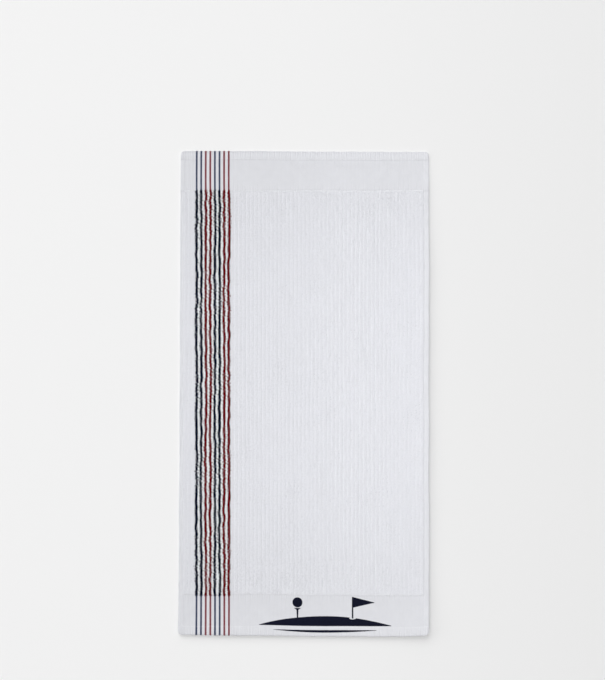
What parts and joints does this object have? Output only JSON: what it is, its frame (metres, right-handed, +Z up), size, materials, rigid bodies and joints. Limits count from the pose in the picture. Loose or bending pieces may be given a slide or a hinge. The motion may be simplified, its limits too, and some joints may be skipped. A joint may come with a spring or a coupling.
{
  "type": "golf towel",
  "caption": "Large white terry golf towel with raised navy and red stripes near one side, flat-woven end borders, turned hems and a plain golf emblem.",
  "frame": {"origin": "under the middle of the towel, on the surface that it lies on", "axes": "+Z up out of the face, +Y along the towel away from the emblem's end, +X across it, away from the striped side"},
  "size_m": [0.56, 1.088, 0.0049],
  "materials": {
    "ground_weave": "flat-woven white cotton, matt",
    "white_terry": "white cotton terry loops, matt and soft",
    "navy_pile": "dyed navy cotton pile yarn, matt",
    "red_pile": "dyed dark red cotton pile yarn, matt",
    "navy_yarn": "navy warp yarn woven flat with white weft",
    "red_yarn": "red warp yarn woven flat with white weft",
    "white_thread": "spun polyester sewing thread, slight sheen",
    "navy_embroidery": "satin-stitched rayon thread, soft sheen",
    "label_tape": "smooth satin label tape, blank"
  },
  "bodies": {
    "root": {"ground_cloth": "ground_weave", "back_pile": "white_terry", "white_face_pile_margin": "white_terry", "white_face_pile_field": "white_terry", "white_pile_between_stripes": "white_terry", "navy_stripe_1": "navy_pile", "navy_stripe_2": "navy_pile", "navy_stripe_3": "navy_pile", "navy_stripe_4": "navy_pile", "red_stripe_1": "red_pile", "red_stripe_2": "red_pile", "red_stripe_3": "red_pile", "red_stripe_4": "red_pile", "top_border_navy_yarns": "navy_yarn", "top_border_red_yarns": "red_yarn", "bottom_border_navy_yarns": "navy_yarn", "bottom_border_red_yarns": "red_yarn", "top_hem": "ground_weave", "bottom_hem": "ground_weave", "left_hem": "ground_weave", "right_hem": "ground_weave", "top_hem_stitching": "white_thread", "bottom_hem_stitching": "white_thread", "left_hem_stitching": "white_thread", "right_hem_stitching": "white_thread", "emblem_embroidery": "navy_embroidery", "care_label": "label_tape"}
  },
  "joints": []
}
